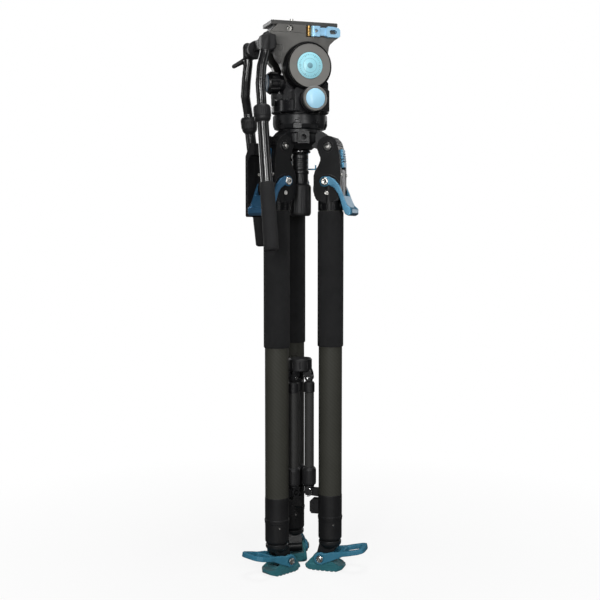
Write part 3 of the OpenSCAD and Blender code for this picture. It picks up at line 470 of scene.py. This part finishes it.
def paint(piece_name, *materials, slot_of=lambda c: 0):
    mesh = PIECES[piece_name].data
    mesh.materials.clear()
    for name in materials:
        mesh.materials.append(MATERIALS[name])
    set_slots(mesh, slot_of)


def add_second(part, material, where):
    """Gives a one-material part a second material on the faces that pass the test."""
    part.data.materials.append(MATERIALS[material])
    set_slots(part.data, where)


# ------------------------------------------------------------------ mesh helpers
def weld(mesh, distance):
    bm = bmesh.new()
    bm.from_mesh(mesh)
    bmesh.ops.remove_doubles(bm, verts=bm.verts, dist=distance)
    bm.to_mesh(mesh)
    bm.free()


def tidy(mesh, crisp_angle=38):
    """Welds, turns all faces outwards and marks the edges that stay crisp."""
    bm = bmesh.new()
    bm.from_mesh(mesh)
    bmesh.ops.remove_doubles(bm, verts=bm.verts, dist=2e-7)
    bmesh.ops.recalc_face_normals(bm, faces=bm.faces)
    for edge in bm.edges:
        if len(edge.link_faces) == 2 and edge.calc_face_angle(0) > math.radians(crisp_angle):
            edge.smooth = False
    bm.to_mesh(mesh)
    bm.free()


def link_new(name, data):
    part = bpy.data.objects.new(name, data)
    bpy.context.scene.collection.objects.link(part)
    return part


def mesh_part(name, vertices, faces, material, body):
    mesh = bpy.data.meshes.new(name)
    mesh.from_pydata([tuple(v) for v in vertices], [], faces)
    mesh.update()
    part = link_new(name, mesh)
    mesh.materials.append(MATERIALS[material])
    smooth_faces(mesh)
    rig.ride(part, body)
    return part


def band_faces(bands, segments, ring_count):
    """Quads between successive rings. The last band may close onto the first ring."""
    faces = []
    for j in range(bands):
        low, high = j * segments, (j + 1) % ring_count * segments
        for i in range(segments):
            k = (i + 1) % segments
            faces.append((low + i, low + k, high + k, high + i))
    return faces


def lathe(name, profile, material, body, origin, axis=(0, 0, 1), segments=96, wobble=None):
    """A solid of revolution about axis through origin, in mm.

    profile is [(radius, distance along axis)]. It ends where it starts, or runs between
    two points on the axis. wobble(angle, distance) is added to each radius above zero.
    """
    turn = UP.rotation_difference(Vector(axis).normalized())
    origin = Vector(origin) * MM
    rings = profile[:-1] if profile[0] == profile[-1] else profile
    vertices = []
    for radius, height in rings:
        for i in range(segments):
            angle = 2 * math.pi * i / segments
            r = radius + (wobble(angle, height) if wobble and radius > 0 else 0)
            spoke = Vector((r * MM * math.cos(angle), r * MM * math.sin(angle), height * MM))
            vertices.append(origin + turn @ spoke)
    faces = band_faces(len(profile) - 1, segments, len(rings))
    part = mesh_part(name, vertices, faces, material, body)
    tidy(part.data)
    return part


def rounded(name, piece_name, material, body, voxel, relaxing):
    """A CAD piece remeshed at the voxel size and relaxed, so that its edges are round."""
    source = PIECES[piece_name].data.copy()
    part = link_new(name, source)
    weld(source, 1e-6)
    remesh = part.modifiers.new("remesh", "REMESH")
    remesh.mode = "VOXEL"
    remesh.voxel_size = voxel
    relax = part.modifiers.new("relax", "SMOOTH")
    relax.factor = 0.5
    relax.iterations = relaxing
    bpy.context.view_layer.update()
    depsgraph = bpy.context.evaluated_depsgraph_get()
    mesh = bpy.data.meshes.new_from_object(part.evaluated_get(depsgraph))
    part.modifiers.clear()
    part.data = mesh
    bpy.data.meshes.remove(source)
    mesh.name = name
    mesh.materials.clear()
    mesh.materials.append(MATERIALS[material])
    smooth_faces(mesh)
    set_slots(mesh, lambda c: 0)
    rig.ride(part, body)
    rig.replaces(part, piece_name)
    return part


# ------------------------------------------------------------------ plain CAD pieces
for name, piece in PIECES.items():
    if not name.startswith(("bar_near_grip", "bar_far_grip")):
        smooth_piece(piece)

ONE_MATERIAL = {
    "black_metal": ("crown", "half_ball"),
    "blue_anodised": ("hook",),
    "black_gloss": ("clamp_washer", "pan_housing", "counterbalance_knob"),
    "black_matte": ("pan_lock", "carry_handle", "spreader_hub"),
    "brass": ("plate_spring",),
    "steel": ("camera_screw",),
    "bar_black": ("bar_near_upper", "bar_near_lower", "bar_far_upper", "bar_far_lower"),
}
for material, names in ONE_MATERIAL.items():
    for name in names:
        paint(name, material)


# ------------------------------------------------------------------ legs
class Leg:
    """A leg's letter and directions: radial points outwards, tangent round +Z."""

    def __init__(self, letter, azimuth):
        self.letter = letter
        self.azimuth = azimuth
        self.angle = math.radians(azimuth)
        self.radial = Vector((math.cos(self.angle), math.sin(self.angle), 0))
        self.tangent = Vector((-math.sin(self.angle), math.cos(self.angle), 0))

    def at(self, out, side, height):
        """A place in mm, from outward, sideways and upward distances in mm."""
        return self.radial * out + self.tangent * side + UP * height

    def axis(self, radius):
        """Where an upright axis at this radius (mm) meets the floor, in metres."""
        return Vector((radius * MM * math.cos(self.angle),
                       radius * MM * math.sin(self.angle), 0))

    def side(self, c):
        """How far c is to either side of the leg's mid plane, in metres."""
        return abs(c.dot(self.tangent))

    def from_pin(self, c, pin):
        """Distance in metres of c from a sideways pin at (outward, height) in mm."""
        return math.hypot(c.dot(self.radial) - pin[0] * MM, c.z - pin[1] * MM)


def paint_leg(leg):
    prefix = f"leg_{leg.letter}_"
    tube_axis = leg.axis(LEG_RADIUS)
    weave = "carbon_leg_" + leg.letter
    MATERIALS[weave] = carbon(weave, tube_axis, LEG_TUBE_RADIUS, cell=0.0017,
                              colours=((0.035, 0.035, 0.0285), (0.058, 0.058, 0.049)))

    def upper_slot(c):
        """Carbon above the collar, whose top is lower on the outward side."""
        return 0 if (c.z > 0.1312 and c.dot(leg.radial) > 0.0335) or c.z > 0.15 else 1

    def on_band(c):
        """A steel band standing proud of the middle collar."""
        radius = math.hypot(c.x - tube_axis.x, c.y - tube_axis.y)
        return radius > 0.02022 and 0.0792 < c.z < 0.0828

    def on_pin_end(c):
        return leg.side(c) > 0.0168 and leg.from_pin(c, FOOT_PIN) < 0.0062

    def hardware_slot(c):
        """Grey link bar on the outward side, dark steel at the top, steel elsewhere."""
        if c.dot(leg.radial) > 0.0712 and leg.side(c) < 0.0077:
            return 1
        return 2 if c.z > 0.684 else 0

    paint(prefix + "upper", weave, "collar_black", slot_of=upper_slot)
    paint(prefix + "middle", "collar_black", "steel", slot_of=on_band)
    paint(prefix + "lower", "black_metal", "steel", slot_of=on_pin_end)
    paint(prefix + "housing", "housing_black")
    paint(prefix + "hardware", "steel", "link_grey", "steel_dark", slot_of=hardware_slot)


# tag, body prefix, outward, height, sideways, washer outer and inner radius, washer material
BOLTS = (
    ("hinge", "leg_", LEG_RADIUS, HINGE_Z, 22.45, 6.5, 2.9, "steel_dark"),
    ("foot", "lower_", *FOOT_PIN, 24.85, 5.7, 2.35, "steel"),
)


def leg_bolts(leg):
    """Domed washers and hexagonal sockets on both ends of the hinge bolt and foot pin."""
    for sign in (-1, 1):
        for tag, body, out, height, side, outer, inner, material in BOLTS:
            suffix = f"{tag}_{leg.letter}_{'p' if sign > 0 else 'm'}"
            where = dict(body=body + leg.letter, origin=leg.at(out, sign * side, height),
                         axis=leg.tangent * sign)
            washer = [(inner, 0), (outer, 0), (outer, 0.35), (outer - 0.35, 0.75),
                      (outer - 1.3, 0.95), (outer - 1.5, 0.7), (inner + 0.9, 0.85),
                      (inner + 0.35, 1.15), (inner, 1.0), (inner, 0)]
            lathe("washer_" + suffix, washer, material, segments=64, **where)
            socket = [(0, 0.0), (inner - 0.05, 0.0), (inner - 0.05, 0.75), (1.75, 0.8),
                      (1.6, 0.15), (0, 0.12)]
            lathe("socket_" + suffix, socket, "steel", segments=6, **where)


def leg_mouldings(leg):
    """Lever, lock tab, foot pad and foot lever, with rounded edges."""
    x = leg.letter
    # leg c's lever and lock tab take the darker copy of the same blue: painted shade
    blue = "blue_anodised_painted_shade" if x == "c" else "blue_anodised"
    lever = rounded(f"lever_{x}_moulded", f"leg_{x}_lever", blue, "lever_" + x,
                    voxel=0.0007, relaxing=3)
    add_second(lever, "steel",
               lambda c: leg.side(c) > 0.0261 and leg.from_pin(c, LEVER_PIVOT) < 0.0066)
    rounded(f"lock_tab_{x}_moulded", f"leg_{x}_lock_tab", blue, "lock_" + x,
            voxel=0.0004, relaxing=3)
    rounded(f"foot_pad_{x}", f"leg_{x}_foot", "teal_rubber", "foot_" + x,
            voxel=0.0008, relaxing=5)
    rounded(f"foot_lever_{x}_moulded", f"leg_{x}_foot_lever", "foot_blue",
            "foot_lever_" + x, voxel=0.0008, relaxing=5)


def leg_sleeve(leg):
    """Foam sleeve: a tube with soft ends, an inward-facing seam and slow unevenness."""
    bottom, top = SLEEVE_BOTTOM, SLEEVE_TOP
    steps = 26
    profile = [(20.08, bottom + 1.4), (20.5, bottom + 0.3), (21.2, bottom),
               (21.75, bottom + 0.7), (21.95, bottom + 2.4)]
    for i in range(1, steps):
        profile.append((21.98, bottom + 2.4 + (top - bottom - 4.8) * i / steps))
    profile += [(21.95, top - 2.4), (21.7, top - 0.7), (21.1, top), (20.5, top - 0.3),
                (20.08, top - 1.4), (20.08, bottom + 1.4)]

    def wobble(angle, height):
        turn = (angle - math.radians(leg.azimuth + 180)) % (2 * math.pi)
        turn = min(turn, 2 * math.pi - turn)
        seam = -0.22 * math.exp(-(turn / 0.03) ** 2)
        if not bottom + 2 < height < top - 2:
            return seam * 0.4
        return seam + 0.10 * noise.noise(Vector((
            math.cos(angle) * 1.6, math.sin(angle) * 1.6, height * 0.018 + leg.azimuth)))

    sleeve = lathe(f"sleeve_{leg.letter}_foam", profile, "eva_foam", "leg_" + leg.letter,
                   origin=(LEG_RADIUS * leg.radial.x, LEG_RADIUS * leg.radial.y, 0),
                   segments=120, wobble=wobble)
    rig.replaces(sleeve, f"leg_{leg.letter}_sleeve")


def paint_arm(leg):
    """The spreader arm: carbon between two matte ends."""
    weave = "carbon_arm_" + leg.letter
    MATERIALS[weave] = carbon(weave, leg.axis(ARM_RADIUS), ARM_TUBE_RADIUS, cell=0.0014,
                              colours=((0.030, 0.030, 0.029), (0.062, 0.062, 0.060)))
    paint(f"arm_{leg.letter}_outer", weave, "black_matte",
          slot_of=lambda c: 0 if 0.1765 < c.z < 0.3046 else 1)
    paint(f"arm_{leg.letter}_inner", "black_matte")


def hub_pins(leg):
    """Domed pin ends on both sides of the spreader hub."""
    profile = [(0, 0), (2.6, 0), (2.9, 0.35), (2.7, 1.0), (1.9, 1.35), (1.2, 1.0), (0, 0.95)]
    for sign in (-1, 1):
        lathe(f"hub_pin_{leg.letter}_{'p' if sign > 0 else 'm'}", profile, "chrome", "hub",
              origin=leg.at(ARM_RADIUS, sign * 8.55, HUB_PIN_Z), axis=leg.tangent * sign,
              segments=32)


def fork_clip(leg):
    """Open wire ring on one side of the arm's fork."""
    steps = 24
    curve = bpy.data.curves.new("clip_" + leg.letter, "CURVE")
    curve.dimensions = "3D"
    spline = curve.splines.new("POLY")
    spline.points.add(steps)
    for i, point in enumerate(spline.points):
        angle = math.radians(-130 + 260 * i / steps)
        place = leg.at(ARM_RADIUS + CLIP_RADIUS * math.cos(angle), -9.3,
                       CLIP_Z + CLIP_RADIUS * math.sin(angle)) * MM
        point.co = (*place, 1)
    curve.bevel_depth = 0.0006
    curve.bevel_resolution = 3
    curve.materials.append(MATERIALS["chrome"])
    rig.ride(link_new("fork_clip_" + leg.letter, curve), f"arm_{leg.letter}_inner")


LEGS = [Leg(letter, azimuth) for letter, azimuth in LEG_AZIMUTHS.items()]
for leg in LEGS:
    paint_leg(leg)
    leg_bolts(leg)
    leg_mouldings(leg)
    leg_sleeve(leg)
    paint_arm(leg)
for leg in LEGS:
    hub_pins(leg)
    fork_clip(leg)


# ------------------------------------------------------------------ head: painting
def from_y_axis(c, centre):
    """Distance in metres of c from a line along Y through centre, in mm."""
    return math.hypot(c.x - centre[0] * MM, c.z - centre[2] * MM)


def dial_slot(c):
    """Grey face inside a black rim."""
    return 0 if c.y < -0.0529 and from_y_axis(c, DIAL_CENTRE) < 0.0368 else 1


def tilt_slot(c):
    if c.y < -0.0245 and from_y_axis(c, (-27, 0, 915.5)) < 0.0047:
        return 1    # steel round on the -Y side
    if from_y_axis(c, DIAL_CENTRE) < 0.0352 and abs(c.y) > 0.0301:
        return 2    # matte discs round the tilt axis
    # matte -X end, apart from any face centred exactly on the mid plane
    if c.x < -0.0555 and c.z < 0.9045 and abs(c.y) > 0.0:
        return 2
    return 0


def plate_lever_slot(c):
    """A small steel round on the -Y side."""
    return from_y_axis(c, (17.5, 0, 913)) < 0.0023 and c.y < -0.0325


def camera_plate_slot(c):
    """Steel on top, black at the -X end, grey elsewhere."""
    if c.z > 0.9293:
        return 1
    return 2 if c.x < -0.0515 else 0


paint("tilt_drag_dial", "dial_grey", "rim_black", slot_of=dial_slot)
paint("pan_drag_knob", "dial_grey", "black_matte", slot_of=lambda c: c.y >= -0.0685)
paint("tie_down_handle", "black_matte", "black_metal", slot_of=lambda c: c.z > 0.6592)
paint("tilt_body", "head_grey", "steel", "black_matte", slot_of=tilt_slot)
paint("plate_lever", "light_blue_anodised", "steel", slot_of=plate_lever_slot)
paint("camera_plate", "plate_grey", "steel", "black_metal", slot_of=camera_plate_slot)


# ------------------------------------------------------------------ head: dial, caps, level
def dial_part(name, profile, material, segments):
    lathe(name, profile, material, "dial", origin=DIAL_CENTRE, axis=MINUS_Y,
          segments=segments)


def dial_ticks(count=36, long_every=6, outer=18.6):
    """Radial tick bars standing on the label, every sixth one longer and wider."""
    box = ((0, 1, 2, 3), (7, 6, 5, 4), (0, 4, 5, 1), (1, 5, 6, 2), (2, 6, 7, 3), (3, 7, 4, 0))
    vertices, faces = [], []
    for i in range(count):
        angle = 2 * math.pi * i / count
        inner, half = (15.2, 0.55) if i % long_every == 0 else (16.6, 0.3)
        outward = Vector((math.cos(angle), 0, math.sin(angle)))
        across = Vector((-math.sin(angle), 0, math.cos(angle)))
        base = len(vertices)
        for y in (-53.55, -53.75):
            centre = Vector((0, y, DIAL_CENTRE[2]))
            for r, t in ((inner, -half), (outer, -half), (outer, half), (inner, half)):
                vertices.append((outward * r + across * t + centre) * MM)
        faces += [tuple(base + k for k in face) for face in box]
    mesh_part("dial_scale_ticks", vertices, faces, "label_ink", "dial")


dial_part("dial_label", [(0, 52.7), (21.2, 52.7), (21.6, 52.9), (21.6, 53.3), (21.2, 53.6),
                         (0, 53.6)], "label_cyan", segments=128)
dial_part("dial_bezel", [(35.1, 53.3), (35.4, 54.0), (36.0, 54.25), (36.5, 54.0),
                         (36.7, 53.3), (35.1, 53.3)], "rim_black", segments=128)
dial_ticks()
dial_part("dial_scale_ring", [(11.2, 53.5), (11.6, 53.75), (12.0, 53.5), (11.2, 53.5)],
          "label_ink", segments=96)
dial_part("dial_centre_cap", [(0, 53.4), (4.2, 53.4), (4.6, 53.7), (3.9, 54.1), (0, 54.3)],
          "label_ink", segments=48)
lathe("pan_knob_cap", [(0, 72.3), (15.9, 72.3), (16.3, 72.6), (16.2, 73.2), (15.6, 73.6),
                       (0, 73.9)], "cap_light_blue", "pan_knob",
      origin=PAN_KNOB_CENTRE, axis=MINUS_Y)
lathe("counterbalance_cap", [(0, 58.4), (13.8, 58.4), (14.2, 59.0), (13.2, 60.2), (0, 61.0)],
      "cap_slate_blue", "counterbalance", origin=COUNTERBALANCE_CENTRE, axis=MINUS_X,
      segments=72)
# bubble level let into the +Y side of the plate receiver
lathe("bubble_bezel", [(0, 26.9), (5.9, 26.9), (5.9, 30.2), (5.2, 30.9), (4.6, 30.4),
                       (4.6, 29.6), (0, 29.6)], "black_matte", "tilt",
      origin=BUBBLE_CENTRE, axis=PLUS_Y, segments=48)
lathe("bubble_vial", [(0, 29.4), (4.5, 29.4), (4.4, 30.0), (3.2, 30.7), (0, 31.0)],
      "vial_green", "tilt", origin=BUBBLE_CENTRE, axis=PLUS_Y, segments=48)

# ------------------------------------------------------------------ pan bars
# ribbed clamping collar, then its taper down to the tube: radius, distance from the top
COLLAR = [
    (8.35, 8), (10.6, 8), (12.4, 9.2), (13.4, 10.5), (14.0, 12), (14.2, 13.4), (14.2, 15),
    (14.2, 20), (14.2, 25), (14.15, 26.6), (13.5, 27.6), (13.2, 28.2), (13.2, 29.6),
    (12.8, 31.4), (11.8, 33.2), (10.4, 34.8), (9.6, 35.5), (9.42, 36.4),
]
COLLAR_END = 36.2
GRIP_LENGTH = 110


def bent_tube(side):
    """The upper bar: a tube with a soft bend and a matte clamped end."""
    def clamped(c):
        return c.z > 0.8735 or (side == "far" and c.x < -0.0865 and c.z > 0.85)

    tube = rounded(f"bar_{side}_bent_tube", f"bar_{side}_upper", "bar_black",
                   "bar_" + side, voxel=0.0008, relaxing=8)
    add_second(tube, "black_matte", clamped)


def sleeve_tube(side, top, bottom):
    """The lower bar: a straight tube below its matte ribbed collar."""
    length = (bottom - top).length
    along = (bottom - top).normalized()
    profile = COLLAR + [(9.4, 38 + (length - 43) * i / 20) for i in range(21)]
    profile += [(8.35, length - 5), COLLAR[0]]

    def ribs(angle, height):
        return -0.45 * max(0.0, math.cos(angle * 24)) ** 3 if 13 < height < 26 else 0.0

    tube = lathe(f"bar_{side}_sleeve_tube", profile, "bar_black", f"bar_{side}_tube",
                 origin=top, axis=bottom - top, segments=192, wobble=ribs)
    add_second(tube, "black_matte", lambda c: (c / MM - top).dot(along) < COLLAR_END)
    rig.replaces(tube, f"bar_{side}_lower")


def foam_grip(side, top, bottom, noise_shift):
    """Foam grip over the bar's lower end, closed at the bottom."""
    base = (bottom - top).length - GRIP_LENGTH
    profile = [(9.48, 0.6), (10.2, 0.05), (11.0, 0.0), (11.6, 0.5), (11.95, 1.8)]
    for i in range(1, 22):
        profile.append((11.97 + 0.05 * math.sin(i * 1.3), 1.8 + 100 * i / 22))
    profile += [(12.05, 103), (12.15, 105.5), (12.0, 107.6), (11.3, 109.4), (9.8, 110.5),
                (6.0, 110.85), (0.0, 110.9), (0.0, 106.7), (9.48, 106.7), (9.48, 0.6)]

    def wobble(angle, height):
        return 0.07 * noise.noise(Vector((math.cos(angle) * 1.4, math.sin(angle) * 1.4,
                                          height * 0.04 + noise_shift)))

    grip = lathe(f"grip_{side}_foam", [(r, h + base) for r, h in profile], "grip_foam",
                 f"bar_{side}_tube", origin=top, axis=bottom - top, wobble=wobble)
    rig.replaces(grip, f"bar_{side}_grip")


for side, (top, bottom, _) in BARS.items():
    bent_tube(side)
    sleeve_tube(side, top, bottom)
for side, (top, bottom, noise_shift) in BARS.items():
    foam_grip(side, top, bottom, noise_shift)


# ------------------------------------------------------------------ stage
def floor_material():
    """White to the camera, with a faint contact shadow; dark to all other rays, so that
    black pieces stay black."""
    graph = new_graph("pale_floor")
    place = graph.coords()
    seen = graph.node("ShaderNodeLightPath").outputs["Is Camera Ray"]
    patches = graph.ramp(graph.noise(place, scale=3.0, detail=4.0), low=0.3, high=0.7)
    pale = graph.mix_colour(patches, (0.90, 0.90, 0.90), (0.93, 0.93, 0.93))
    graph.fill(graph.principled, {
        "Base Color": graph.mix_colour(seen, (0.16, 0.16, 0.16), pale),
        "Roughness": 0.9, "Specular IOR Level": 0.0})
    glow = graph.node("ShaderNodeEmission", {"Color": (1, 1, 1, 1)})
    # all glow far from the tripod, part glow and part lit close to it
    distance = graph.node("ShaderNodeVectorMath", operation="LENGTH")
    graph.fill(distance, {0: place})
    share = graph.ramp(distance.outputs["Value"], low=0.25, high=0.9, start=0.86, end=1.0)
    mixed = graph.node("ShaderNodeMixShader", {
        0: graph.math("MULTIPLY", seen, share),
        1: graph.principled.outputs[0], 2: glow.outputs[0]})
    graph.put(mixed.outputs[0], graph.tree.nodes["Material Output"].inputs[0])
    return graph.material


def build_floor(flat=6.0, curve=2.5, wall_top=12.0, segments=96):
    """A round floor that curves up into a wall on every side."""
    material = floor_material()
    rings = [(0.0, 0.0), (flat / 2, 0.0), (flat, 0.0)]    # radius, height
    for degrees in range(10, 91, 10):
        angle = math.radians(degrees)
        rings.append((flat + curve * math.sin(angle), curve - curve * math.cos(angle)))
    rings.append((flat + curve, wall_top))
    vertices = []
    for radius, z in rings:
        for i in range(segments):
            angle = 2 * math.pi * i / segments
            vertices.append((radius * math.cos(angle), radius * math.sin(angle), z))
    mesh = bpy.data.meshes.new("floor")
    mesh.from_pydata(vertices, [], band_faces(len(rings) - 1, segments, len(rings)))
    weld(mesh, 1e-5)
    mesh.materials.append(material)
    smooth_faces(mesh)
    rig.stage(link_new("floor", mesh))


build_floor()

# ------------------------------------------------------------------ lights and camera
world = bpy.data.worlds.new("studio")
bpy.context.scene.world = world
world.use_nodes = True
background = world.node_tree.nodes["Background"]
background.inputs["Color"].default_value = (1, 1, 1, 1)
background.inputs["Strength"].default_value = 0.08

VIEW_AZIMUTH = math.radians(-18.0)
VIEW_RIGHT = Vector((math.cos(VIEW_AZIMUTH), math.sin(VIEW_AZIMUTH), 0))
TO_CAMERA = Vector((math.sin(VIEW_AZIMUTH), -math.cos(VIEW_AZIMUTH), 0))
MIDDLE = Vector((0, 0, 0.5))


def aim(thing, target):
    thing.rotation_euler = (target - thing.location).to_track_quat("-Z", "Y").to_euler()


def area_light(name, right, toward, up, width, height, power, aim_lift=0.0):
    """A rectangular light placed in the camera's directions, aimed at the middle."""
    light = bpy.data.lights.new(name, "AREA")
    light.shape = "RECTANGLE"
    light.size = width
    light.size_y = height
    light.energy = power
    lamp = link_new(name, light)
    lamp.location = VIEW_RIGHT * right + TO_CAMERA * toward + Vector((0, 0, up))
    aim(lamp, MIDDLE + Vector((0, 0, aim_lift)))


area_light("key_left", right=-0.62, toward=2.35, up=1.0, width=0.36, height=1.5, power=29,
           aim_lift=0.1)
area_light("key_right", right=0.80, toward=2.25, up=0.95, width=0.32, height=1.5, power=17)
area_light("side_left", right=-1.9, toward=0.35, up=0.8, width=0.25, height=1.5, power=2.4)
area_light("side_right", right=1.9, toward=0.25, up=0.8, width=0.25, height=1.5, power=2.4)
area_light("top", right=0.1, toward=0.5, up=2.5, width=1.0, height=0.8, power=22)
area_light("back_left", right=-1.3, toward=-1.9, up=1.1, width=0.9, height=1.4, power=12)
area_light("back_right", right=1.3, toward=-1.9, up=1.1, width=0.9, height=1.4, power=7)

CAMERA_DISTANCE = 1.806
CAMERA_Z = 0.584
CAMERA_PITCH = math.radians(3.816)    # downwards

lens = bpy.data.cameras.new("camera")
lens.sensor_width = 36.0
lens.lens = 63.35
lens.clip_start = 0.05
lens.clip_end = 60
camera = link_new("camera", lens)
camera.location = TO_CAMERA * CAMERA_DISTANCE + Vector((0, 0, CAMERA_Z))
aim(camera, Vector((0, 0, CAMERA_Z - CAMERA_DISTANCE * math.tan(CAMERA_PITCH))))
bpy.context.scene.camera = camera

view = bpy.context.scene.view_settings
view.view_transform = "Standard"
view.look = "None"
view.exposure = 0.0

bpy.context.view_layer.update()
json.dump({"cad": CAD_BOX, "visual": [[float(c) for c in p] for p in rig.bounds()]},
          open("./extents.json", "w"))
